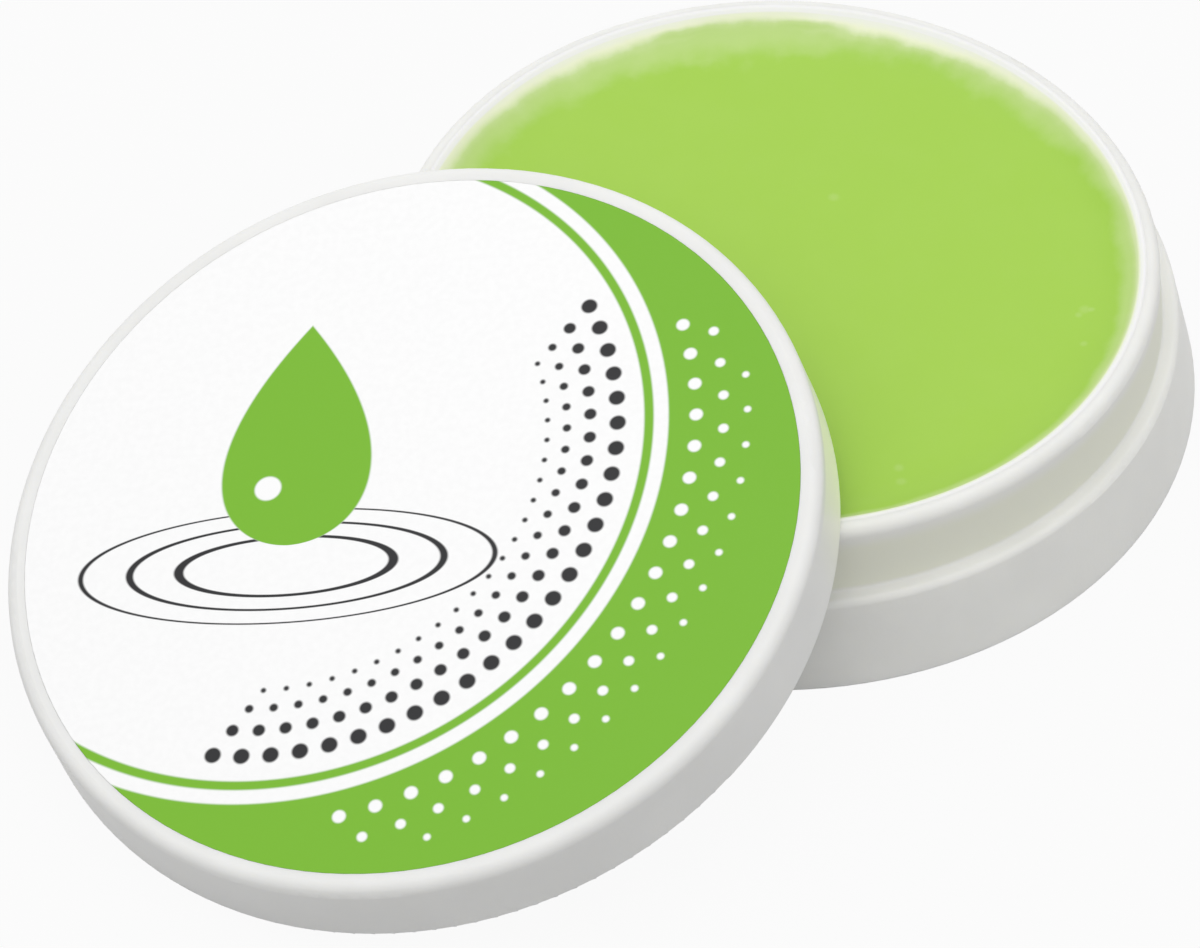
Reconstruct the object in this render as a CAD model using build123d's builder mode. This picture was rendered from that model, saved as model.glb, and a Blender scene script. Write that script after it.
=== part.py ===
"""Finger moistener: a low round tub of cast gel, and the press-on lid that leans on the tub's rim.

Lengths are in millimetres and angles in degrees. The tub stands on z = 0 with its axis on Z.
"""

import os
from math import asin, atan2, cos, hypot, radians, sin, sqrt, tan

from build123d import *

# Tub: a drafted cup inside a flared outer band, moulded in one piece
rim_radius = 28.5
rim_flat = 0.15
rim_outer_round = 0.9
rim_inner_round = 0.4
neck_height = 5.6
neck_taper = 0.55
neck_foot_round = 0.25
shoulder_ledge = 1.2
shoulder_round = 0.6
shoulder_wall = 1.4
band_height = 7.2
band_flare = 1.75
band_wall = 1.2
foot_round = 0.2
cup_wall = 1.4
cup_draft = 1.5
cup_corner_round = 1.5
floor_wall = 1.2
floor_lift = 0.4
core_round = 0.3
gate_radius = 1.5
gate_depth = 0.3

# Gel: cast in the cup, with an edge that climbs the wall a little
gel_headspace = 1.7
gel_climb = 0.6
gel_edge_width = 1.8
gel_wall_gap = 0.05

# Lid: a skirt with the neck's taper, and a low plug that seals inside the rim
fit_gap = 0.1
lid_stand_off = 0.7
lid_panel = 1.0
lid_round = 0.9
skirt_edge_wall = 0.8
skirt_root_wall = 0.92
skirt_edge_round = 0.25
skirt_root_round = 0.4
plug_height = 0.6
plug_wall = 0.8
plug_round = 0.2

# Label: a printed disc, flush in a shallow recess on the lid
label_thickness = 0.12
label_gap = 0.02
label_land = 0.53

# Lean: the lid's open edge stands on the table at one point and lies on the rim at two
lean_direction = 222.3
lean_perch = 19.52
lean_gap = 0.15

# Tub heights and radii that follow from these
rim_height = band_height + neck_height
rim_wall = rim_outer_round + rim_flat + rim_inner_round
rim_inner_radius = rim_radius - rim_wall
neck_radius = rim_radius + neck_taper
shoulder_radius = neck_radius + shoulder_ledge
foot_radius = shoulder_radius + band_flare
floor_top = floor_lift + floor_wall
core_top = band_height - shoulder_wall
cup_slope = tan(radians(cup_draft))
cup_floor_radius = rim_inner_radius - cup_slope * (rim_height - floor_top)
core_inner_low = cup_floor_radius + cup_wall
core_inner_high = core_inner_low + cup_slope * (core_top - floor_lift)
core_outer_low = foot_radius - band_wall
core_outer_high = core_outer_low - band_flare * core_top / band_height

# Gel surface, and its edge on the cup's wall
gel_level = rim_height - gel_headspace
gel_edge_height = gel_level + gel_climb
gel_edge_radius = rim_inner_radius - cup_slope * (rim_height - gel_edge_height) - gel_wall_gap
gel_floor_radius = cup_floor_radius - gel_wall_gap

# Lid heights and radii, from its open edge up
lid_hollow = neck_height - lid_stand_off
lid_height = lid_hollow + lid_panel
skirt_root_radius = rim_radius + fit_gap
skirt_edge_radius = skirt_root_radius + neck_taper * lid_hollow / neck_height
lid_edge_radius = skirt_edge_radius + skirt_edge_wall
lid_top_radius = skirt_root_radius + skirt_root_wall
skirt_lean = atan2(lid_edge_radius - lid_top_radius, lid_height)
skirt_edge_setback = skirt_edge_round * tan(radians(45) + skirt_lean / 2)
plug_radius = rim_inner_radius - fit_gap
plug_inner_radius = plug_radius - plug_wall
plug_foot = lid_hollow - plug_height
label_seat = lid_height - label_thickness
label_recess_radius = lid_top_radius - lid_round - label_land
label_radius = label_recess_radius - label_gap

# Lean angle at which the resting chord is just above the rim while the edge stands on the table
perch_height = rim_height + lean_gap
reach = lean_perch + lid_edge_radius - skirt_edge_setback
lean_sine = (perch_height - skirt_edge_round) / hypot(reach, skirt_edge_round)
lean = asin(lean_sine) + atan2(skirt_edge_round, reach)

# Distance between the axes at which the chord's ends lie on the rim's crown
crown_radius = rim_radius - rim_outer_round - rim_flat / 2
rest_radius = skirt_edge_radius + skirt_edge_round
half_chord = sqrt(rest_radius**2 - lean_perch**2)
lid_distance = sqrt(crown_radius**2 - half_chord**2) + lean_perch * cos(lean)
lid_rise = perch_height - lean_perch * sin(lean)

# Lid's place: its open edge lies in lid_mouth, and lid_side is a plane through its axis
bearing = radians(lean_direction)
lid_mouth = Plane(
    origin=(lid_distance * cos(bearing), lid_distance * sin(bearing), lid_rise),
    x_dir=(cos(lean) * cos(bearing), cos(lean) * sin(bearing), -sin(lean)),
    z_dir=(sin(lean) * cos(bearing), sin(lean) * sin(bearing), cos(lean)),
)
lid_side = Plane(origin=lid_mouth.origin, x_dir=lid_mouth.x_dir, z_dir=-lid_mouth.y_dir)
lid_axis = Axis(lid_mouth.origin, lid_mouth.z_dir)

# Tub, hollow underneath between the cup and the band, with the moulding gate's mark under its floor
with BuildPart() as tub:
    with BuildSketch(Plane.XZ):
        with BuildLine():
            FilletPolyline(
                (0, floor_lift),
                (core_inner_low, floor_lift),
                (core_inner_high, core_top),
                (core_outer_high, core_top),
                (core_outer_low, 0),
                (foot_radius, 0),
                (shoulder_radius, band_height),
                (neck_radius, band_height),
                (rim_radius, rim_height),
                (rim_inner_radius, rim_height),
                (cup_floor_radius, floor_top),
                (0, floor_top),
                radius=[
                    0,
                    core_round,
                    core_round,
                    core_round,
                    foot_round,
                    foot_round,
                    shoulder_round,
                    neck_foot_round,
                    rim_outer_round,
                    rim_inner_round,
                    cup_corner_round,
                    0,
                ],
                close=True,
            )
        make_face()
    revolve(axis=Axis.Z)
    with BuildSketch(Plane.XY.offset(floor_lift)):
        Circle(gate_radius)
    extrude(amount=gate_depth, mode=Mode.SUBTRACT)

# Gel, down to the cup's floor, with its edge drawn up the wall
with BuildPart() as gel:
    with BuildSketch(Plane.XZ):
        with BuildLine():
            FilletPolyline(
                (0, gel_level),
                (0, floor_top),
                (gel_floor_radius, floor_top),
                (gel_edge_radius, gel_edge_height),
                radius=[0, cup_corner_round],
            )
            surface = Line((0, gel_level), (gel_edge_radius - gel_edge_width, gel_level))
            TangentArc(surface @ 1, (gel_edge_radius, gel_edge_height), tangent=surface % 1)
        make_face()
    revolve(axis=Axis.Z)

# Lid, turned about its own leaning axis
with BuildPart() as lid:
    with BuildSketch(lid_side):
        with BuildLine():
            FilletPolyline(
                (0, lid_hollow),
                (plug_inner_radius, lid_hollow),
                (plug_inner_radius, plug_foot),
                (plug_radius, plug_foot),
                (plug_radius, lid_hollow),
                (skirt_root_radius, lid_hollow),
                (skirt_edge_radius, 0),
                (lid_edge_radius, 0),
                (lid_top_radius, lid_height),
                (label_recess_radius, lid_height),
                (label_recess_radius, label_seat),
                (0, label_seat),
                radius=[
                    0,
                    plug_round,
                    plug_round,
                    plug_round,
                    plug_round,
                    skirt_root_round,
                    skirt_edge_round,
                    skirt_edge_round,
                    lid_round,
                    0,
                    0,
                    0,
                ],
                close=True,
            )
        make_face()
    revolve(axis=lid_axis)

# Label, stuck down in the lid's recess
with BuildPart() as lid_label:
    with BuildSketch(lid_mouth.offset(label_seat)):
        Circle(label_radius)
    extrude(amount=label_thickness)

tub.part.label = "tub"
gel.part.label = "gel"
lid.part.label = "lid"
lid_label.part.label = "lid_label"

os.makedirs("parts", exist_ok=True)
export_step(tub.part, "parts/tub.step")
export_step(gel.part, "parts/gel.step")
export_step(lid.part, "parts/lid.step")
export_step(lid_label.part, "parts/lid_label.step")
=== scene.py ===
"""Looks of a finger moistener: a low round tub of green gel, with its labelled lid leaning on the rim.

Lengths are in metres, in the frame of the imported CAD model.
"""

from math import asin, cos, radians, sin, tau

import bmesh
import bpy
from bpy.props import FloatProperty, FloatVectorProperty, IntProperty, PointerProperty
from bpy.types import NodeSocket, Operator, Panel, PropertyGroup
from mathutils import Matrix, Vector, noise


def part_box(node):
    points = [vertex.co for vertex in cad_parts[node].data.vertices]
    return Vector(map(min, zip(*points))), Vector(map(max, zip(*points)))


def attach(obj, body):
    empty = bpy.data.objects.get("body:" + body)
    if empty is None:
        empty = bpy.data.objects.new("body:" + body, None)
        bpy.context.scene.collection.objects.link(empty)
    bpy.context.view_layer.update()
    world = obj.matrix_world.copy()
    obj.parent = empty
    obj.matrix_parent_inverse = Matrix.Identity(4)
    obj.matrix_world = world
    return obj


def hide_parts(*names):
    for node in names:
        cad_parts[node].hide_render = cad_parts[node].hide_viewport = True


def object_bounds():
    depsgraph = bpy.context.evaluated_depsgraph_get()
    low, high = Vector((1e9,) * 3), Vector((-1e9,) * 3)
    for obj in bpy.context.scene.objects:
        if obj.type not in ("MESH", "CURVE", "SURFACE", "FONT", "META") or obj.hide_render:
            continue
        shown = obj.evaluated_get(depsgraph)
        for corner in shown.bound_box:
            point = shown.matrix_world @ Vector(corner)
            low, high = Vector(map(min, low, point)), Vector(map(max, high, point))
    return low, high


bl_info = {
    "name": "Finger moistener",
    "version": (1, 0, 0),
    "blender": (4, 5, 0),
    "location": "3D View > Sidebar > Moistener",
    "description": "Dresses the CAD model of a finger moistener and sets it on a pale stage",
    "category": "Object",
}

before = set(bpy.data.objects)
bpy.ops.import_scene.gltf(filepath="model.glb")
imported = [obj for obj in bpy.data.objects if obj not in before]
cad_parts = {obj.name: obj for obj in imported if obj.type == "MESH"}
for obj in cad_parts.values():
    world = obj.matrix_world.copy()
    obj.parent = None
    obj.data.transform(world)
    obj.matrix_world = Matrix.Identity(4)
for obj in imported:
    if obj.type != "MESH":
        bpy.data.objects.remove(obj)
CAD_LOW, CAD_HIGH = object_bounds()
MM = 0.001
WHITE = (1, 1, 1, 1)

# Sockets of a Mix node that mixes colours
MIX_MASK = 0
MIX_FIRST = 6
MIX_SECOND = 7
MIX_RESULT = 2

# Noise: its middle value, and the ranges over which clouds, haze and wisps rise
NOISE_MIDDLE = 0.5
CLOUD_RANGE = (0.3, 0.7)
HAZE_RANGE = (0.35, 0.75)
WISP_RANGE = (0.25, 0.75)

# Moulded plastic: changes of roughness between its clouds and within its grain
MOTTLE_SHEEN = 0.16
GRAIN_SHEEN = 0.10

# Waves in the cast gel: how fast they fade, how much finer each layer is, and the number of layers
WAVE_FADE = 1.0
WAVE_FINENESS = 2.0
WAVE_LAYERS = 3

# Gel mesh: points closer than this are one, slack at its brim, and depth of what counts as its surface
MERGE_GAP = 0.001 * MM
BRIM_SLACK = 0.01 * MM
SURFACE_DEPTH = 0.1 * MM

# The pale edge is partly thin gel over the white wall, partly painted light from that wall
# Bearing around the tub in degrees, and how far the gel is pale there, as a share of the pale width
PALE_REACH = (
    (-180, 0.55),
    (-90, 0.18),
    (-40, 0.20),
    (0, 0.38),
    (10, 0.32),
    (22, 0.38),
    (32, 0.60),
    (46, 0.62),
    (58, 0.50),
    (70, 0.68),
    (80, 0.84),
    (96, 0.96),
    (114, 0.84),
    (126, 0.76),
    (142, 0.62),
    (152, 0.64),
    (180, 0.55),
)

# Bearing in degrees, and how far the whitish film reaches there, as a share of the film width
FILM_REACH = (
    (-180, 0.50),
    (-90, 0.16),
    (-20, 0.24),
    (0, 0.34),
    (14, 0.48),
    (28, 0.60),
    (45, 0.76),
    (60, 0.94),
    (75, 0.92),
    (86, 0.72),
    (97, 0.70),
    (105, 0.84),
    (113, 0.86),
    (122, 0.84),
    (135, 0.74),
    (150, 0.60),
    (180, 0.50),
)

# Bearing in degrees, and how strongly a deeper green streak shows there beside the wall
STREAK = (
    (-180, 0.0),
    (72, 0.0),
    (80, 1.0),
    (86, 0.3),
    (96, 0.4),
    (104, 0.9),
    (110, 0.0),
    (180, 0.0),
)

# How thin the gel is, from 0 to 1, where it has its pale colour and where it is a film
PALE_AT = 0.5
FILM_AT = 0.8

# Bubbles under the gel's skin: place across the tub and width, in millimetres
BUBBLES = (
    (7.55, -21.0, 0.5),
    (7.6, -22.4, 0.55),
    (22.5, -6.2, 0.6),
    (22.0, -6.7, 0.4),
    (23.0, -6.3, 0.35),
    (22.0, -9.8, 0.4),
    (5.0, 7.05, 0.6),
)

# Radius and softness of a bubble, as shares of its width
BUBBLE_RADIUS = 0.6
BUBBLE_BLUR = 0.4

# Print on the label, in label radii: softness of its edges, a green sweep and the line inside it
PRINT_BLUR = 0.004
SWEEP_MIDDLE = (-0.32, 0.18)
SWEEP_RADIUS = 0.98
SWEEP_LINE_RADIUS = 0.93
SWEEP_LINE = 0.012

# Drop with a glint; its fullness makes the widest place as wide as asked
DROP_FOOT = (-0.30, -0.08)
DROP_HEIGHT = 0.66
DROP_HALF_WIDTH = 0.20
DROP_FULLNESS = 2.6
GLINT_MIDDLE = (-0.37, 0.09)
GLINT_RADIUS = 0.035

# Ripples under the drop: half the width and half the thickness of each oval line
RIPPLE_MIDDLE = (-0.30, -0.14)
RIPPLE_FLATNESS = 0.30
RIPPLES = ((0.28, 0.013), (0.41, 0.010), (0.54, 0.007))

# Rows of dots about the sweep's middle: row and dot radius, shift in pitches, first and last bearing
DOT_PITCH = radians(5.0)
PALE_ROWS = (
    (1.05, 0.017, 0.0, -80, 22),
    (1.12, 0.013, 0.5, -76, 17),
    (1.18, 0.009, 0.0, -70, 12),
)
DARK_ROWS = (
    (0.85, 0.021, 0.0, -98, 28),
    (0.78, 0.016, 0.5, -96, 26),
    (0.72, 0.011, 0.0, -94, 24),
    (0.67, 0.007, 0.5, -92, 22),
)


def millimetres(label, description, value):
    """A length property, with its default in millimetres."""
    return metres(label, description, value * MM)


def metres(label, description, value):
    """A length property, with its default in metres."""
    return FloatProperty(name=label, description=description, default=value, unit="LENGTH", precision=5)


def place(label, description, value):
    """A place or offset in space, in metres."""
    return FloatVectorProperty(
        name=label, description=description, default=value, subtype="XYZ", unit="LENGTH", size=3
    )


def direction(label, description, value):
    """A direction in space, of any length."""
    return FloatVectorProperty(name=label, description=description, default=value, subtype="XYZ", size=3)


def share(label, description, value):
    """A property from 0 to 1."""
    return FloatProperty(
        name=label, description=description, default=value, subtype="FACTOR", min=0, max=1
    )


def number(label, description, value):
    """A plain number property."""
    return FloatProperty(name=label, description=description, default=value)


def count(label, description, value, least):
    """A whole number property."""
    return IntProperty(name=label, description=description, default=value, min=least)


def angle(label, description, value):
    """An angle property, with its default in degrees."""
    return FloatProperty(name=label, description=description, default=radians(value), subtype="ANGLE")


def colour(label, description, value):
    """A colour property, in linear red, green and blue."""
    return FloatVectorProperty(
        name=label, description=description, default=value, subtype="COLOR", size=3, min=0, max=1
    )


class PlasticSettings(PropertyGroup):
    """Finish of the white mouldings."""

    tub_white: colour("Tub white", "Colour of the tub", (0.84, 0.84, 0.81))
    lid_white: colour("Lid white", "Colour of the lid", (0.82, 0.82, 0.805))
    cloud_tone: share("Cloud tone", "How light the duller clouds in the plastic are", 0.957)
    roughness: share("Roughness", "Mean roughness of the moulded surface", 0.45)
    gloss: share("Gloss", "How strongly the moulded surface reflects", 0.3)
    mottle_size: millimetres("Mottle size", "Size of the faint clouds in the plastic", 7.0)
    grain_size: millimetres("Grain size", "Size of the mould's fine grain", 0.25)
    grain_depth: millimetres("Grain depth", "Depth of the mould's fine grain", 0.006)
    tub_scatter: share("Tub scatter", "How much light spreads inside the tub's wall", 0.3)
    lid_scatter: share("Lid scatter", "How much light spreads inside the lid's wall", 0.2)
    scatter_reach: millimetres("Scatter reach", "How far light spreads inside the plastic", 1.2)
    scatter_tint: colour("Scatter tint", "Share of that reach for red, green and blue", (1.0, 0.95, 0.8))
    # Painted shade and green bounce on the tub's neck, partly the gel seen through its wall
    neck_tint_and_shade: colour("Tinted white", "Tub's neck, with the gel close behind it", (0.80, 0.81, 0.70))
    neck_foot: millimetres("Neck foot", "Height of the foot of the tub's neck", 7.2)
    neck_radius: millimetres("Neck radius", "Radius of the tub's neck at its foot", 29.05)
    tint_start: millimetres("Tint start", "Height above the neck's foot where the tint is full", 0.4)
    tint_fade: millimetres("Tint fade", "Depth below the gel's edge where the tint begins to fade", 1.0)
    tint_end: millimetres("Tint end", "Height above the gel's edge where the tint ends", 0.4)
    tint_side: millimetres("Tint side", "Distance outside the neck where the tint ends", 0.2)
    # Painted green light bounced from the gel onto the lid's skirt, lighter than the lid's white
    painted_green_bounce: colour("Glowing white", "Lid's skirt with the gel's green in it", (0.97, 1.0, 0.76))
    bounce_place: place("Glow place", "Where the lid's skirt is low over the gel", (0.003, -0.024, 0.0))
    bounce_width: millimetres("Glow width", "Width of the place where the green shows", 11.0)
    skirt_top: millimetres("Skirt top", "Depth below the label at which the lid's skirt begins", 1.6)


class GelSettings(PropertyGroup):
    """Form and finish of the gel."""

    climb: millimetres("Climb", "Height of the CAD gel's edge above its level", 0.6)
    film_rise: millimetres("Film rise", "How far above that edge the film meets the rim", 1.0294)
    film_reach: millimetres("Film reach", "How far outside that edge the film meets the rim", 0.1926)
    edge_width: millimetres("Edge width", "Width of the gel's raised edge", 4.477)
    skin_round: millimetres("Skin rounding", "Rounding of the film's skin over the rim", 0.43)
    skin_width: millimetres("Skin width", "How far the skin runs on over the rim's crown", 0.12)
    skin_drop: millimetres("Skin drop", "How far the skin's edge sinks there", 0.045)
    wall_gap: millimetres("Wall gap", "How far outside the CAD gel the gel's side lies", 0.06)
    wall_rise: millimetres("Wall rise", "How far above the CAD gel's edge that side ends", 0.6)
    wall_draft: millimetres("Wall draft", "How much smaller the gel's radius is at its floor", 0.29)
    floor_round: millimetres("Floor rounding", "Rounding between the gel's side and floor", 1.5)
    waviness: millimetres("Waviness", "Unevenness of the cast surface", 0.05)
    wave_size: millimetres("Wave size", "Size of the waves in the cast surface", 9.0)
    turns: count("Turns", "Steps around the gel", 240, 32)
    rings: count("Rings", "Rings across the gel's surface", 48, 8)
    edge_steps: count("Edge steps", "Steps across the gel's raised edge", 12, 2)
    skin_steps: count("Skin steps", "Steps across the skin over the rim", 5, 1)
    floor_steps: count("Floor steps", "Steps across the rounding at the gel's floor", 6, 1)
    green: colour("Green", "Colour of the gel", (0.35, 0.595, 0.066))
    # Partly thin gel over the white wall, partly painted light from that wall
    pale: colour("Pale green", "Thinner gel near the white wall", (0.545, 0.70, 0.28))
    film: colour("Film", "Thin film of gel on the white wall", (0.86, 0.90, 0.66))
    # Lighter than the tub's own white: painted light that lifts the shade on the steep skin over the rim
    bare_wall_with_painted_light: colour("Bare wall", "Wall that only a trace of gel covers", (0.93, 0.93, 0.89))
    on_rim: colour("On the rim", "Rim under the last trace of gel", (0.865, 0.865, 0.835))
    pale_width: millimetres("Pale width", "Greatest width of the pale edge", 5.1)
    pale_start: share("Pale start", "Share of the pale edge's width before it begins to fade", 0.3)
    pale_strength: share("Pale strength", "How thin the gel is in the pale edge", 0.32)
    film_width: millimetres("Film width", "Greatest width of the film", 2.0)
    film_least: share("Film least", "How thin the film is where it doesn't reach in at all", 0.15)
    film_gain: share("Film gain", "How much thinner it is at its greatest width", 0.5)
    lip_inside: millimetres("Lip inside", "Distance inside the CAD gel's edge where the lip begins", 0.1)
    lip_outside: millimetres("Lip outside", "Distance outside that edge where the lip is full", 0.2)
    lip_strength: share("Lip strength", "How much thinner the film is at its lip", 0.4)
    rim_start: millimetres("Rim start", "Distance outside the CAD gel's edge where the rim shows", 0.22)
    rim_full: millimetres("Rim full", "Distance outside that edge where only the rim shows", 0.5)
    streak_place: millimetres("Streak place", "Distance of the streak from the wall", 0.8)
    streak_core: millimetres("Streak core", "Half the width of the full streak", 0.1)
    streak_edge: millimetres("Streak edge", "Half the width of the whole streak", 0.5)
    streak_strength: share("Streak strength", "How much thicker the gel is in the streak", 0.2)
    wisp_size: millimetres("Wisp size", "Size of the wisps along the gel's edge", 2.5)
    wisp_strength: share("Wisp strength", "How much the wisps change the edge's widths", 0.18)
    haze_size: millimetres("Haze size", "Size of the faint clouds in the gel", 5.0)
    haze_strength: share("Haze strength", "How much paler the clouds are", 0.015)
    bubble_strength: share("Bubble strength", "How much paler the bubbles are", 0.12)
    ripple_depth: millimetres("Ripple depth", "Depth of the ripples in the gel's skin", 0.02)
    ripple_strength: share("Ripple strength", "How strongly the ripples show", 0.5)
    roughness: share("Roughness", "Mean roughness of the gel's skin", 0.45)
    sheen: share("Sheen", "Change of roughness between the clouds", 0.2)
    gloss: share("Gloss", "How strongly the gel's skin reflects", 0.3)
    scatter: share("Scatter", "How much light spreads inside the gel", 0.1)
    scatter_reach: millimetres("Scatter reach", "How far light spreads inside the gel", 2.0)
    scatter_tint: colour("Scatter tint", "Share of that reach for red, green and blue", (0.8, 1.0, 0.25))


class LabelSettings(PropertyGroup):
    """Print on the lid's label."""

    paper: colour("Paper", "Bare label", (0.92, 0.92, 0.92))
    green: colour("Green ink", "Main ink", (0.18, 0.455, 0.02))
    dark: colour("Dark ink", "Second ink", (0.012, 0.012, 0.014))
    turn: angle("Turn", "Turn of the print on the lid", -6.0)
    fibre_size: number("Fibre size", "Size of the clouds in the paper, in label radii", 0.02)
    fibre_tone: share("Fibre tone", "How light the duller clouds in the paper are", 0.98)
    roughness: share("Roughness", "Mean roughness of the coated label", 0.42)
    sheen: share("Sheen", "Change of roughness between the clouds", 0.1)
    gloss: share("Gloss", "How strongly the coated label reflects", 0.3)


class StageSettings(PropertyGroup):
    """Light, floor and camera."""

    ambient: number("Ambient", "Strength of the light from all round", 0.36)
    left_glow: number("Left glow", "Strength of the extra light from the left", 0.55)
    left: direction("Left", "Where the left light comes from", (-0.85, 0.6, 0.2))
    right_glow: number("Right glow", "Strength of the extra light from the right", 0.15)
    right: direction("Right", "Where the right light comes from", (1.0, 0.3, 0.3))
    front_glow: number("Front glow", "Strength of the extra light from the front", 0.46)
    front: direction("Front", "Where the front light comes from", (0.25, -0.85, 0.4))
    key_power: number("Key power", "Power of the overhead light in watts", 3.55)
    key_size: metres("Key size", "Side of the overhead light", 0.9)
    key_place: place("Key place", "Overhead light from the object's middle", (0.05, 0.15, 0.86))
    floor_tone: share("Floor tone", "How light the floor is", 0.42)
    floor_white: share("Floor white", "How much of the floor's look is plain white", 0.94)
    floor_radius: metres("Floor radius", "Radius of the floor", 4.0)
    floor_sides: count("Floor sides", "Sides of the round floor", 64, 8)
    floor_drop: millimetres("Floor drop", "How far the floor lies below the object's foot", 0.02)
    elevation: angle("Elevation", "Height of the camera above the horizon", 47.451)
    roll: angle("Roll", "Turn of the camera about its line of sight", -2.812)
    distance: metres("Distance", "Depth of the tub's foot in the picture", 0.31625)
    focal_px: number("Focal length", "Focal length in picture pixels", 4129.7)
    picture_px: number("Picture width", "Width of the picture in pixels", 1200.0)
    foot_right_px: number("Foot right", "Tub's foot right of the picture's middle, in pixels", 174.17)
    foot_down_px: number("Foot down", "Tub's foot below the picture's middle, in pixels", -104.91)
    sensor_mm: number("Sensor width", "Width of the camera's sensor in millimetres", 36.0)
    near: metres("Near", "Distance at which the camera begins to see", 0.01)


class MoistenerSettings(PropertyGroup):
    """All settings of the object and its stage."""

    plastic: PointerProperty(type=PlasticSettings)
    gel: PointerProperty(type=GelSettings)
    label: PointerProperty(type=LabelSettings)
    stage: PointerProperty(type=StageSettings)


def put(tree, kind, inputs=None, **settings):
    """Adds a node with its settings, and feeds its inputs from plain values or other nodes' sockets."""
    node = tree.nodes.new(kind)
    for name, value in settings.items():
        setattr(node, name, value)
    for name, value in (inputs or {}).items():
        if isinstance(value, NodeSocket):
            tree.links.new(value, node.inputs[name])
        else:
            node.inputs[name].default_value = value
    return node


def calc(tree, operation, *values, clamp=False):
    """The result of one Math node."""
    inputs = dict(enumerate(values))
    return put(tree, "ShaderNodeMath", inputs, operation=operation, use_clamp=clamp).outputs[0]


def vector_node(tree, operation, *values):
    """The outputs of one Vector Math node."""
    return put(tree, "ShaderNodeVectorMath", dict(enumerate(values)), operation=operation).outputs


def along(tree, operation, *values):
    """The vector result of one Vector Math node."""
    return vector_node(tree, operation, *values)["Vector"]


def length_of(tree, vector):
    """The length of a vector."""
    return vector_node(tree, "LENGTH", vector)["Value"]


def dot_product(tree, first, second):
    """The dot product of two vectors."""
    return vector_node(tree, "DOT_PRODUCT", first, second)["Value"]


def parts_of(tree, vector):
    """The X, Y and Z of a vector."""
    return put(tree, "ShaderNodeSeparateXYZ", {0: vector}).outputs


def step(tree, value, low, high, start=0.0, end=1.0):
    """A smooth step from start to end as the value goes from low to high."""
    inputs = {"Value": value, "From Min": low, "From Max": high, "To Min": start, "To Max": end}
    return put(tree, "ShaderNodeMapRange", inputs, interpolation_type="SMOOTHSTEP").outputs["Result"]


def blend(tree, mask, first, second):
    """The first colour where the mask is 0, and the second where it is 1."""
    node = put(tree, "ShaderNodeMix", {MIX_MASK: mask}, data_type="RGBA")
    for index, tone in ((MIX_FIRST, first), (MIX_SECOND, second)):
        if isinstance(tone, NodeSocket):
            tree.links.new(tone, node.inputs[index])
        else:
            node.inputs[index].default_value = (*tone, 1)
    return node.outputs[MIX_RESULT]


def clouds(tree, vector, size, detail=3.0):
    """Soft noise from 0 to 1, with features of about the given size."""
    inputs = {"Vector": vector, "Scale": 1 / size, "Detail": detail}
    return put(tree, "ShaderNodeTexNoise", inputs).outputs["Fac"]


def varied(tree, mean, cloud, change):
    """A value that varies about its mean with a noise."""
    return calc(tree, "MULTIPLY_ADD", calc(tree, "SUBTRACT", cloud, NOISE_MIDDLE), change, mean)


def place_on(tree):
    """The point on the piece, in its own coordinates."""
    return put(tree, "ShaderNodeTexCoord").outputs["Object"]


def flattened(tree, vector):
    """A vector without its height."""
    return along(tree, "MULTIPLY", vector, (1.0, 1.0, 0.0))


def disc(tree, point, centre, radius, soft=PRINT_BLUR):
    """A mask of a disc: 1 inside, 0 outside."""
    offset = along(tree, "SUBTRACT", point, (*centre, 0.0))
    distance = length_of(tree, flattened(tree, offset))
    return step(tree, distance, radius - soft, radius + soft, 1.0, 0.0)


def new_material(name, roughness):
    """A material with a Principled shader, and its node tree."""
    material = bpy.data.materials.new(name)
    material.use_nodes = True
    shader = material.node_tree.nodes["Principled BSDF"]
    shader.inputs["Roughness"].default_value = roughness
    return material, material.node_tree, shader


def scatter_light(shader, weight, settings):
    """Lets light spread below a surface, by its settings."""
    shader.inputs["Subsurface Weight"].default_value = weight
    shader.inputs["Subsurface Radius"].default_value = settings.scatter_tint
    shader.inputs["Subsurface Scale"].default_value = settings.scatter_reach


def moulded_finish():
    """Shared group: the clouds, sheen changes and fine grain of moulded plastic."""
    group = bpy.data.node_groups.get("Moulded Finish")
    if group:
        return group
    group = bpy.data.node_groups.new("Moulded Finish", "ShaderNodeTree")
    group.interface.new_socket("Point", in_out="INPUT", socket_type="NodeSocketVector")
    for name in ("Mottle Size", "Grain Size", "Roughness"):
        group.interface.new_socket(name, in_out="INPUT", socket_type="NodeSocketFloat")
    for name in ("Clouds", "Roughness", "Grain"):
        group.interface.new_socket(name, in_out="OUTPUT", socket_type="NodeSocketFloat")
    given = group.nodes.new("NodeGroupInput").outputs
    result = group.nodes.new("NodeGroupOutput").inputs
    mottle = clouds(group, along(group, "DIVIDE", given["Point"], given["Mottle Size"]), 1.0)
    grain = clouds(group, along(group, "DIVIDE", given["Point"], given["Grain Size"]), 1.0, detail=1.0)
    sheen = varied(group, given["Roughness"], mottle, MOTTLE_SHEEN)
    group.links.new(step(group, mottle, *CLOUD_RANGE), result["Clouds"])
    group.links.new(varied(group, sheen, grain, GRAIN_SHEEN), result["Roughness"])
    group.links.new(grain, result["Grain"])
    return group


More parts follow.
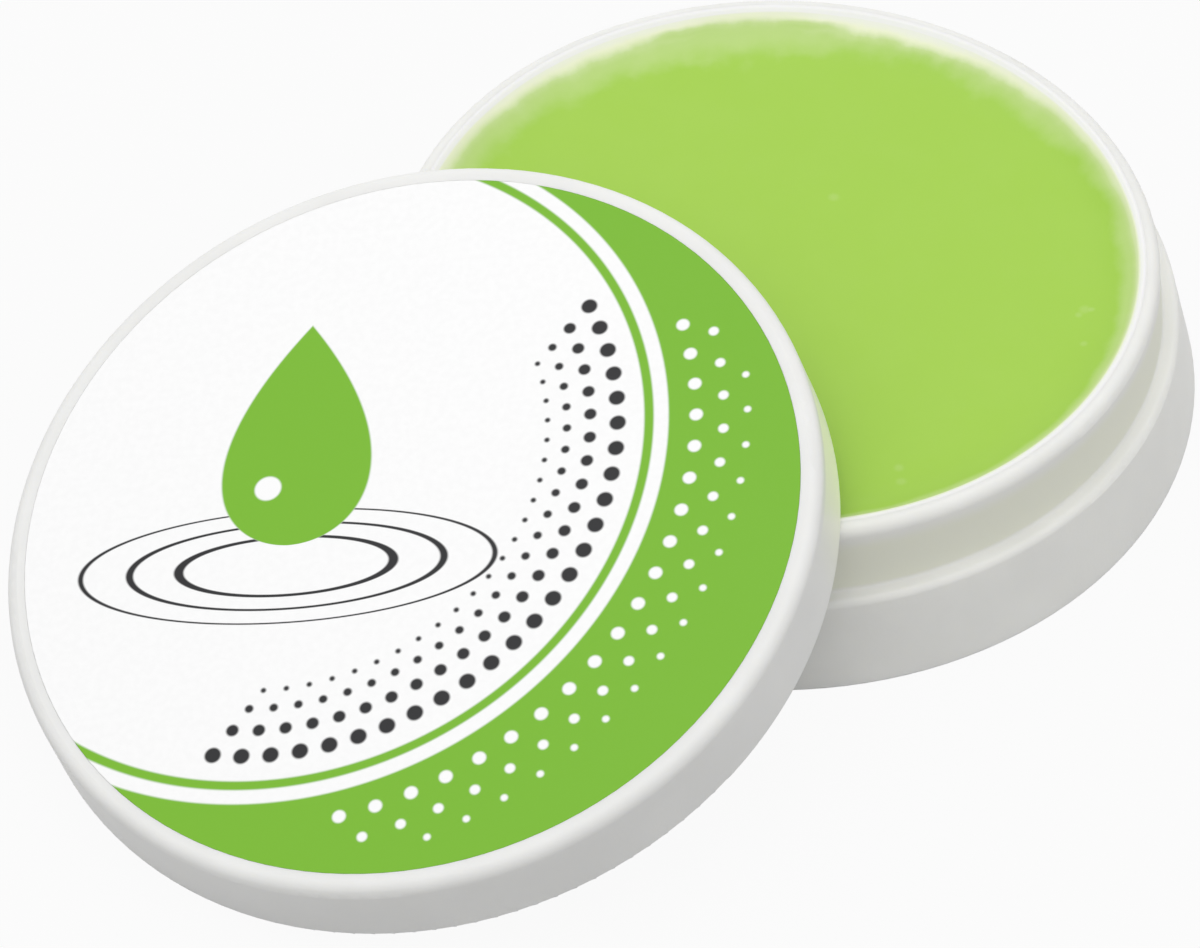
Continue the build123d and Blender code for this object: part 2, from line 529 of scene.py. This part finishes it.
def plastic_material(name, settings, tone, scatter, painted_light_mask, painted_light_tone):
    """White moulded plastic. The mask is the place where it takes another tone: painted shade and
    bounced green light.
    """
    material, tree, shader = new_material(name, settings.roughness)
    point = place_on(tree)
    finish = put(tree, "ShaderNodeGroup", node_tree=moulded_finish())
    tree.links.new(point, finish.inputs["Point"])
    finish.inputs["Mottle Size"].default_value = settings.mottle_size
    finish.inputs["Grain Size"].default_value = settings.grain_size
    finish.inputs["Roughness"].default_value = settings.roughness
    dull = tuple(part * settings.cloud_tone for part in tone)
    white = blend(tree, finish.outputs["Clouds"], dull, tone)
    # Painted shade and bounced green light where the mask is set
    white = blend(tree, painted_light_mask(tree, point, settings), white, painted_light_tone)
    tree.links.new(white, shader.inputs["Base Color"])
    tree.links.new(finish.outputs["Roughness"], shader.inputs["Roughness"])
    relief = {"Height": finish.outputs["Grain"], "Distance": settings.grain_depth}
    grain = put(tree, "ShaderNodeBump", relief)
    tree.links.new(grain.outputs["Normal"], shader.inputs["Normal"])
    shader.inputs["Specular IOR Level"].default_value = settings.gloss
    scatter_light(shader, scatter, settings)
    return material


def neck_tint_and_shade_mask(tree, point, settings):
    """The tub's neck with gel close behind it, fading out towards the rim: partly the gel seen through
    the wall, partly painted shade and green bounce.
    """
    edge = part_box("gel")[1].z
    height = parts_of(tree, point)["Z"]
    foot = step(tree, height, settings.neck_foot, settings.neck_foot + settings.tint_start)
    crown = step(tree, height, edge - settings.tint_fade, edge + settings.tint_end, 1.0, 0.0)
    from_axis = length_of(tree, flattened(tree, point))
    outside = settings.neck_radius + settings.tint_side
    neck = step(tree, from_axis, settings.neck_radius, outside, 1.0, 0.0)
    return calc(tree, "MULTIPLY", calc(tree, "MULTIPLY", foot, crown), neck)


def label_frame():
    """Middle, axes and radius of the label, read from its CAD node."""
    low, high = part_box("lid_label")
    middle = (low + high) / 2
    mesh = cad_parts["lid_label"].data
    up = max((p for p in mesh.polygons if p.normal.z > 0), key=lambda p: p.area).normal.copy()
    right = (Vector((1, 0, 0)) - up * up.x).normalized()
    radius = max((v.co - middle).length for v in mesh.vertices)
    return middle, Matrix((right, up.cross(right), up)).transposed(), radius


def green_bounce_mask(tree, point, settings):
    """Where the lid's skirt is so low over the gel that painted green light, bounced from the gel, shows
    in it.
    """
    middle, axes, _ = label_frame()
    height = dot_product(tree, along(tree, "SUBTRACT", point, middle), axes.col[2])
    skirt = step(tree, height, -settings.skirt_top, -settings.skirt_top / 2, 1.0, 0.0)
    half = settings.bounce_width / 2
    return calc(tree, "MULTIPLY", skirt, disc(tree, point, settings.bounce_place[:2], half, half))


def shades(tree, value, stops, interpolation="LINEAR"):
    """A colour that follows a value from 0 to 1, from stops of place and colour."""
    ramp = put(tree, "ShaderNodeValToRGB", {"Fac": value})
    ramp.color_ramp.interpolation = interpolation
    elements = ramp.color_ramp.elements
    while len(elements) < len(stops):
        elements.new(0.5)
    for element, (position, tone) in zip(elements, stops):
        element.position = position
        element.color = (*tone, 1)
    return ramp.outputs["Color"]


def by_bearing(tree, point, stops):
    """A value that changes around the tub, from stops of bearing in degrees and value from 0 to 1."""
    flat = parts_of(tree, point)
    turn = calc(tree, "MULTIPLY_ADD", calc(tree, "ARCTAN2", flat["Y"], flat["X"]), 1 / tau, 0.5)
    tones = [(bearing / 360 + 0.5, (value, value, value)) for bearing, value in stops]
    return shades(tree, turn, tones, "EASE")


def gel_thinness(tree, point, haze, from_wall, settings):
    """How thin the gel is, from 0 to 1: more so near the wall, at its lip and in a few bubbles; near the
    wall partly painted light.
    """
    wisps = clouds(tree, flattened(tree, point), settings.wisp_size)
    narrow = 1.0 - settings.wisp_strength
    wide = 1.0 + settings.wisp_strength
    depth = calc(tree, "MULTIPLY", from_wall, step(tree, wisps, *WISP_RANGE, narrow, wide))

    pale_end = calc(tree, "MULTIPLY", by_bearing(tree, point, PALE_REACH), settings.pale_width)
    pale_start = calc(tree, "MULTIPLY", pale_end, settings.pale_start)
    pale = step(tree, depth, pale_start, pale_end, settings.pale_strength, 0.0)

    film_share = by_bearing(tree, point, FILM_REACH)
    film_end = calc(tree, "MULTIPLY", film_share, settings.film_width)
    film_most = calc(tree, "MULTIPLY_ADD", film_share, settings.film_gain, settings.film_least)
    film = step(tree, depth, 0.0, film_end, film_most, 0.0)
    lip = step(tree, from_wall, -settings.lip_outside, settings.lip_inside, settings.lip_strength, 0.0)
    thin = calc(tree, "ADD", calc(tree, "ADD", pale, film), lip)

    off_streak = calc(tree, "ABSOLUTE", calc(tree, "SUBTRACT", depth, settings.streak_place))
    streak_most = settings.streak_strength
    streak = step(tree, off_streak, settings.streak_core, settings.streak_edge, streak_most, 0.0)
    streak = calc(tree, "MULTIPLY", streak, by_bearing(tree, point, STREAK))
    thin = calc(tree, "SUBTRACT", thin, streak, clamp=True)

    for x, y, width in BUBBLES:
        size = width * MM
        bubble = disc(tree, point, (x * MM, y * MM), BUBBLE_RADIUS * size, BUBBLE_BLUR * size)
        thin = calc(tree, "MULTIPLY_ADD", bubble, settings.bubble_strength, thin)
    hazy = step(tree, haze, *HAZE_RANGE)
    return calc(tree, "MULTIPLY_ADD", hazy, settings.haze_strength, thin, clamp=True)


def gel_material(settings, radius):
    """Soft green gel, paler near the wall and whitish where it thins to a film, partly with painted
    light from the wall.
    """
    material, tree, shader = new_material("gel_green", settings.roughness)
    point = place_on(tree)
    haze = clouds(tree, point, settings.haze_size)
    from_wall = calc(tree, "SUBTRACT", radius, length_of(tree, flattened(tree, point)))
    thin = gel_thinness(tree, point, haze, from_wall, settings)
    # The last stop is lighter than the wall itself: painted light over the steep skin
    tints = (
        (0.0, settings.green),
        (PALE_AT, settings.pale),
        (FILM_AT, settings.film),
        (1.0, settings.bare_wall_with_painted_light),
    )
    on_rim = step(tree, from_wall, -settings.rim_full, -settings.rim_start, 1.0, 0.0)
    tone = blend(tree, on_rim, shades(tree, thin, tints), settings.on_rim)
    tree.links.new(tone, shader.inputs["Base Color"])
    relief = {"Height": haze, "Distance": settings.ripple_depth, "Strength": settings.ripple_strength}
    ripple = put(tree, "ShaderNodeBump", relief)
    tree.links.new(ripple.outputs["Normal"], shader.inputs["Normal"])
    rough = varied(tree, settings.roughness, haze, settings.sheen)
    tree.links.new(rough, shader.inputs["Roughness"])
    shader.inputs["Specular IOR Level"].default_value = settings.gloss
    scatter_light(shader, settings.scatter, settings)
    return material


def oval_ring(tree, point, centre, half_width, flatness, line):
    """A mask of an oval line, from half its width and half its thickness."""
    offset = along(tree, "SUBTRACT", point, (*centre, 0.0))
    distance = length_of(tree, along(tree, "MULTIPLY", offset, (1.0, 1 / flatness, 0.0)))
    off_line = calc(tree, "ABSOLUTE", calc(tree, "SUBTRACT", distance, half_width))
    return step(tree, off_line, line - PRINT_BLUR, line + PRINT_BLUR, 1.0, 0.0)


def drop(tree, point, foot, height, half_width):
    """A mask of a drop that stands on its foot with its tip up."""
    offset = parts_of(tree, along(tree, "SUBTRACT", point, (*foot, 0.0)))
    climb = calc(tree, "DIVIDE", offset["Y"], height, clamp=True)
    taper = calc(tree, "MULTIPLY", calc(tree, "SQRT", climb), calc(tree, "SUBTRACT", 1.0, climb))
    across = calc(tree, "ABSOLUTE", offset["X"])
    half = calc(tree, "MULTIPLY", taper, DROP_FULLNESS * half_width)
    return step(tree, calc(tree, "SUBTRACT", half, across), 0.0, 2 * PRINT_BLUR)


def dot_arc(tree, point, centre, pitch, radius, size, shift, first, last):
    """A mask of a row of dots along an arc, between two bearings in degrees."""
    offset = parts_of(tree, along(tree, "SUBTRACT", point, (*centre, 0.0)))
    bearing = calc(tree, "ARCTAN2", offset["Y"], offset["X"])
    turn = calc(tree, "MULTIPLY_ADD", bearing, 1 / pitch, shift)
    from_dot = calc(tree, "SUBTRACT", calc(tree, "FRACT", turn), 0.5)
    to_dot = calc(tree, "MULTIPLY", from_dot, pitch * radius)
    flat = put(tree, "ShaderNodeCombineXYZ", {"X": offset["X"], "Y": offset["Y"]}).outputs[0]
    to_arc = calc(tree, "SUBTRACT", length_of(tree, flat), radius)
    gap = length_of(tree, put(tree, "ShaderNodeCombineXYZ", {"X": to_dot, "Y": to_arc}).outputs[0])
    dots = step(tree, gap, size - PRINT_BLUR, size + PRINT_BLUR, 1.0, 0.0)
    whole = calc(tree, "ADD", calc(tree, "FLOOR", turn), 0.5 - shift)
    after = calc(tree, "GREATER_THAN", whole, radians(first) / pitch)
    before = calc(tree, "LESS_THAN", whole, radians(last) / pitch)
    return calc(tree, "MULTIPLY", dots, calc(tree, "MULTIPLY", after, before))


def any_of(tree, masks):
    """A mask of all the given ones together."""
    joined = masks[0]
    for mask in masks[1:]:
        joined = calc(tree, "MAXIMUM", joined, mask)
    return joined


def label_material(settings):
    """White coated label: a green sweep with rows of dots, and a drop over rings of ripples."""
    material, tree, shader = new_material("label_print", settings.roughness)
    middle, axes, radius = label_frame()
    turned = axes @ Matrix.Rotation(settings.turn, 3, "Z")
    spot = put(tree, "ShaderNodeMapping", {"Vector": place_on(tree)}, vector_type="TEXTURE")
    spot.inputs["Location"].default_value = middle
    spot.inputs["Rotation"].default_value = turned.to_euler()
    spot.inputs["Scale"].default_value = (radius, radius, radius)
    point = spot.outputs["Vector"]

    field = calc(tree, "SUBTRACT", 1.0, disc(tree, point, SWEEP_MIDDLE, SWEEP_RADIUS))
    line = oval_ring(tree, point, SWEEP_MIDDLE, SWEEP_LINE_RADIUS, 1.0, SWEEP_LINE)
    bead = drop(tree, point, DROP_FOOT, DROP_HEIGHT, DROP_HALF_WIDTH)
    green = any_of(tree, (field, line, bead))
    pale = [dot_arc(tree, point, SWEEP_MIDDLE, DOT_PITCH, *row) for row in PALE_ROWS]
    pale.append(disc(tree, point, GLINT_MIDDLE, GLINT_RADIUS))
    dark = [dot_arc(tree, point, SWEEP_MIDDLE, DOT_PITCH, *row) for row in DARK_ROWS]
    ripples = [
        oval_ring(tree, point, RIPPLE_MIDDLE, half_width, RIPPLE_FLATNESS, thickness)
        for half_width, thickness in RIPPLES
    ]
    behind = calc(tree, "SUBTRACT", 1.0, green)
    dark.append(calc(tree, "MULTIPLY", any_of(tree, ripples), behind))

    fibre = clouds(tree, point, settings.fibre_size)
    dull = tuple(settings.fibre_tone * part for part in settings.paper)
    paper = blend(tree, step(tree, fibre, *CLOUD_RANGE), dull, settings.paper)
    ink = blend(tree, green, paper, settings.green)
    ink = blend(tree, any_of(tree, pale), ink, settings.paper)
    ink = blend(tree, any_of(tree, dark), ink, settings.dark)
    tree.links.new(ink, shader.inputs["Base Color"])
    rough = varied(tree, settings.roughness, fibre, settings.sheen)
    tree.links.new(rough, shader.inputs["Roughness"])
    shader.inputs["Specular IOR Level"].default_value = settings.gloss
    return material


def dress(node_name, material):
    """Gives a CAD node its material."""
    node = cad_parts[node_name]
    node.data.materials.clear()
    node.data.materials.append(material)


def round_corner(form, corner_place, size, steps):
    """Rounds the corner of a section at a place."""
    corner = min(form.verts, key=lambda vert: (vert.co - Vector(corner_place)).length)
    bmesh.ops.bevel(
        form,
        geom=[corner],
        offset=size,
        offset_type="OFFSET",
        affect="VERTICES",
        segments=steps,
        profile=0.5,
        material=-1,
    )


def gel_section(form, settings):
    """Half the gel's section: level, raised edge, skin, side and floor. Returns its brim's radius."""
    low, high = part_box("gel")
    cad_edge = (high.x - low.x) / 2
    level = high.z - settings.climb
    bend = cad_edge + settings.film_reach - settings.edge_width
    rise = settings.climb + settings.film_rise
    curve = (settings.edge_width**2 + rise**2) / (2 * rise)
    slope = asin(settings.edge_width / curve)
    middle = form.verts.new((0, 0, level))
    start = form.verts.new((bend, 0, level))
    arc = bmesh.ops.spin(
        form,
        geom=[start],
        cent=(bend, 0, level + curve),
        axis=(0, -1, 0),
        angle=slope,
        steps=settings.edge_steps,
    )
    lip = arc["geom_last"][0]
    turn = Vector((settings.skin_round * sin(slope), 0, -settings.skin_round * cos(slope)))
    skin = bmesh.ops.spin(
        form,
        geom=[lip],
        cent=lip.co + turn,
        axis=(0, 1, 0),
        angle=slope,
        steps=settings.skin_steps,
    )
    crown = skin["geom_last"][0]
    brim = form.verts.new(crown.co + Vector((settings.skin_width, 0, -settings.skin_drop)))
    brim_radius = brim.co.x
    wall = form.verts.new((cad_edge + settings.wall_gap, 0, high.z + settings.wall_rise))
    foot_place = (cad_edge + settings.wall_gap - settings.wall_draft, 0, low.z)
    foot = form.verts.new(foot_place)
    base = form.verts.new((0, 0, low.z))
    for ends in ((crown, brim), (brim, wall), (wall, foot), (foot, base)):
        form.edges.new(ends)
    surface = form.edges.new((middle, start))
    bmesh.ops.subdivide_edges(form, edges=[surface], cuts=settings.rings)
    round_corner(form, foot_place, settings.floor_round, settings.floor_steps)
    return brim_radius


def gel_mesh(settings):
    """The cast gel: a turned section with a sharp brim on the rim, and a slightly uneven surface."""
    form = bmesh.new()
    brim_radius = gel_section(form, settings)
    bmesh.ops.spin(
        form,
        geom=form.verts[:] + form.edges[:],
        cent=(0, 0, 0),
        axis=(0, 0, 1),
        angle=tau,
        steps=settings.turns,
        use_merge=True,
    )
    bmesh.ops.remove_doubles(form, verts=form.verts, dist=MERGE_GAP)
    bmesh.ops.recalc_face_normals(form, faces=form.faces)
    for line in form.edges:
        line.smooth = min(vert.co.xy.length for vert in line.verts) < brim_radius - BRIM_SLACK
    low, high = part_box("gel")
    edge = (high.x - low.x) / 2 + settings.film_reach
    surface_foot = high.z - settings.climb - SURFACE_DEPTH
    for vert in form.verts:
        if vert.co.z > surface_foot:
            calm = min(1.0, max(0.0, (edge - vert.co.xy.length) / settings.edge_width))
            spot = Vector((vert.co.x, vert.co.y, 0)) / settings.wave_size
            wave = noise.fractal(spot, WAVE_FADE, WAVE_FINENESS, WAVE_LAYERS)
            vert.co.z += calm * settings.waviness * wave
    return form


def add_piece(name, form, body, material):
    """Makes an object of a bmesh, smooth shaded, that rides on a CAD body."""
    for face in form.faces:
        face.smooth = True
    mesh = bpy.data.meshes.new(name)
    form.to_mesh(mesh)
    form.free()
    mesh.materials.append(material)
    piece = bpy.data.objects.new(name, mesh)
    bpy.context.scene.collection.objects.link(piece)
    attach(piece, body)
    return piece


class MOISTENER_OT_tub(Operator):
    """Finish the tub in white moulded plastic"""

    bl_idname = "moistener.tub"
    bl_label = "Tub"

    def execute(self, context):
        settings = context.scene.moistener.plastic
        white = plastic_material(
            "tub_plastic", settings, settings.tub_white, settings.tub_scatter, neck_tint_and_shade_mask, settings.neck_tint_and_shade
        )
        dress("tub", white)
        return {"FINISHED"}


class MOISTENER_OT_gel(Operator):
    """Cast the gel in the tub"""

    bl_idname = "moistener.gel"
    bl_label = "Gel"

    def execute(self, context):
        settings = context.scene.moistener.gel
        low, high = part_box("gel")
        material = gel_material(settings, (high.x - low.x) / 2)
        gel = add_piece("gel_fill", gel_mesh(settings), "tub", material)
        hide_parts("gel")
        return {"FINISHED"}


class MOISTENER_OT_lid(Operator):
    """Finish the lid in white moulded plastic"""

    bl_idname = "moistener.lid"
    bl_label = "Lid"

    def execute(self, context):
        settings = context.scene.moistener.plastic
        white = plastic_material(
            "lid_plastic", settings, settings.lid_white, settings.lid_scatter, green_bounce_mask, settings.painted_green_bounce
        )
        dress("lid", white)
        return {"FINISHED"}


class MOISTENER_OT_label(Operator):
    """Print the lid's label"""

    bl_idname = "moistener.label"
    bl_label = "Label"

    def execute(self, context):
        dress("lid_label", label_material(context.scene.moistener.label))
        return {"FINISHED"}


def seen_directly(tree):
    """A mask of the rays that show the stage itself: straight, by gloss or through glass."""
    path = put(tree, "ShaderNodeLightPath").outputs
    mirrored = calc(tree, "MAXIMUM", path["Is Glossy Ray"], path["Is Transmission Ray"])
    return calc(tree, "MAXIMUM", path["Is Camera Ray"], mirrored)


def glow_from(tree, towards, source, strength):
    """Light that grows towards one place in the sky."""
    facing = dot_product(tree, towards, Vector(source).normalized())
    return calc(tree, "MULTIPLY", calc(tree, "MAXIMUM", facing, 0.0), strength)


def light_world(settings):
    """White all round to the camera, and soft light on the object, stronger from three sides."""
    world = bpy.data.worlds.new("studio")
    world.use_nodes = True
    tree = world.node_tree
    tree.nodes.clear()
    towards = put(tree, "ShaderNodeTexCoord").outputs["Generated"]
    left = glow_from(tree, towards, settings.left, settings.left_glow)
    right = glow_from(tree, towards, settings.right, settings.right_glow)
    front = glow_from(tree, towards, settings.front, settings.front_glow)
    sides = calc(tree, "ADD", calc(tree, "ADD", left, right), front)
    level = calc(tree, "ADD", sides, settings.ambient)
    light = put(tree, "ShaderNodeBackground", {"Color": WHITE, "Strength": level}).outputs[0]
    white = put(tree, "ShaderNodeBackground", {"Color": WHITE, "Strength": 1.0}).outputs[0]
    mixed = put(tree, "ShaderNodeMixShader", {0: seen_directly(tree), 1: light, 2: white})
    put(tree, "ShaderNodeOutputWorld", {"Surface": mixed.outputs[0]})
    bpy.context.scene.world = world


def add_floor(settings):
    """A pale floor that keeps the object's shadow."""
    form = bmesh.new()
    bmesh.ops.create_circle(
        form, cap_ends=True, radius=settings.floor_radius, segments=settings.floor_sides
    )
    bmesh.ops.translate(form, verts=form.verts, vec=(0, 0, CAD_LOW.z - settings.floor_drop))
    mesh = bpy.data.meshes.new("floor")
    form.to_mesh(mesh)
    form.free()
    material = bpy.data.materials.new("floor_paper")
    material.use_nodes = True
    tree = material.node_tree
    tree.nodes.clear()
    tone = settings.floor_tone
    paper = put(tree, "ShaderNodeBsdfDiffuse", {"Color": (tone, tone, tone, 1)})
    white = put(tree, "ShaderNodeEmission", {"Color": WHITE, "Strength": 1.0})
    amount = calc(tree, "MULTIPLY", seen_directly(tree), settings.floor_white)
    surface = put(tree, "ShaderNodeMixShader", {0: amount, 1: paper.outputs[0], 2: white.outputs[0]})
    put(tree, "ShaderNodeOutputMaterial", {"Surface": surface.outputs[0]})
    mesh.materials.append(material)
    floor = bpy.data.objects.new("floor", mesh)
    bpy.context.scene.collection.objects.link(floor)


def add_lamp(name, lamp_place, aim, size, power):
    """A square soft light that faces its aim."""
    lamp = bpy.data.lights.new(name, "AREA")
    lamp.size = size
    lamp.energy = power
    holder = bpy.data.objects.new(name, lamp)
    holder.location = lamp_place
    holder.rotation_euler = (aim - lamp_place).to_track_quat("-Z", "Y").to_euler()
    bpy.context.scene.collection.objects.link(holder)


def add_camera(settings):
    """The photograph's camera, from its height, roll and where it shows the tub's foot."""
    lens = bpy.data.cameras.new("camera")
    lens.sensor_width = settings.sensor_mm
    lens.lens = settings.focal_px / settings.picture_px * settings.sensor_mm
    lens.clip_start = settings.near
    forward = Vector((0, cos(settings.elevation), -sin(settings.elevation)))
    level = Vector((1, 0, 0))
    below = Vector((0, -sin(settings.elevation), -cos(settings.elevation)))
    right = level * cos(settings.roll) - below * sin(settings.roll)
    down = level * sin(settings.roll) + below * cos(settings.roll)
    pixel = settings.distance / settings.focal_px
    foot = right * settings.foot_right_px * pixel + down * settings.foot_down_px * pixel
    camera = bpy.data.objects.new("camera", lens)
    turn = Matrix((right, -down, -forward)).transposed().to_4x4()
    camera.matrix_world = Matrix.Translation(-foot - forward * settings.distance) @ turn
    bpy.context.scene.collection.objects.link(camera)
    bpy.context.scene.camera = camera


class MOISTENER_OT_stage(Operator):
    """Set the floor, the light and the camera"""

    bl_idname = "moistener.stage"
    bl_label = "Stage"

    def execute(self, context):
        settings = context.scene.moistener.stage
        middle = (CAD_LOW + CAD_HIGH) / 2
        context.scene.view_settings.view_transform = "Standard"
        light_world(settings)
        add_floor(settings)
        overhead = middle + Vector(settings.key_place)
        add_lamp("overhead", overhead, middle, settings.key_size, settings.key_power)
        add_camera(settings)
        return {"FINISHED"}


class VIEW3D_PT_moistener(Panel):
    """Lists the steps that build the finger moistener's looks"""

    bl_label = "Finger moistener"
    bl_space_type = "VIEW_3D"
    bl_region_type = "UI"
    bl_category = "Moistener"

    def draw(self, context):
        for operator in OPERATORS:
            self.layout.operator(operator.bl_idname)
        settings = context.scene.moistener
        for group in (settings.plastic, settings.gel, settings.label, settings.stage):
            box = self.layout.box()
            for name in group.__annotations__:
                box.prop(group, name)


OPERATORS = (
    MOISTENER_OT_tub,
    MOISTENER_OT_gel,
    MOISTENER_OT_lid,
    MOISTENER_OT_label,
    MOISTENER_OT_stage,
)
GROUPS = (PlasticSettings, GelSettings, LabelSettings, StageSettings, MoistenerSettings)
CLASSES = (*GROUPS, *OPERATORS, VIEW3D_PT_moistener)


def register():
    for made in CLASSES:
        bpy.utils.register_class(made)
    bpy.types.Scene.moistener = PointerProperty(type=MoistenerSettings)


def unregister():
    del bpy.types.Scene.moistener
    for made in reversed(CLASSES):
        bpy.utils.unregister_class(made)


def main():
    register()
    bpy.ops.moistener.tub()
    bpy.ops.moistener.gel()
    bpy.ops.moistener.lid()
    bpy.ops.moistener.label()
    bpy.ops.moistener.stage()


if __name__ == "__main__":
    main()
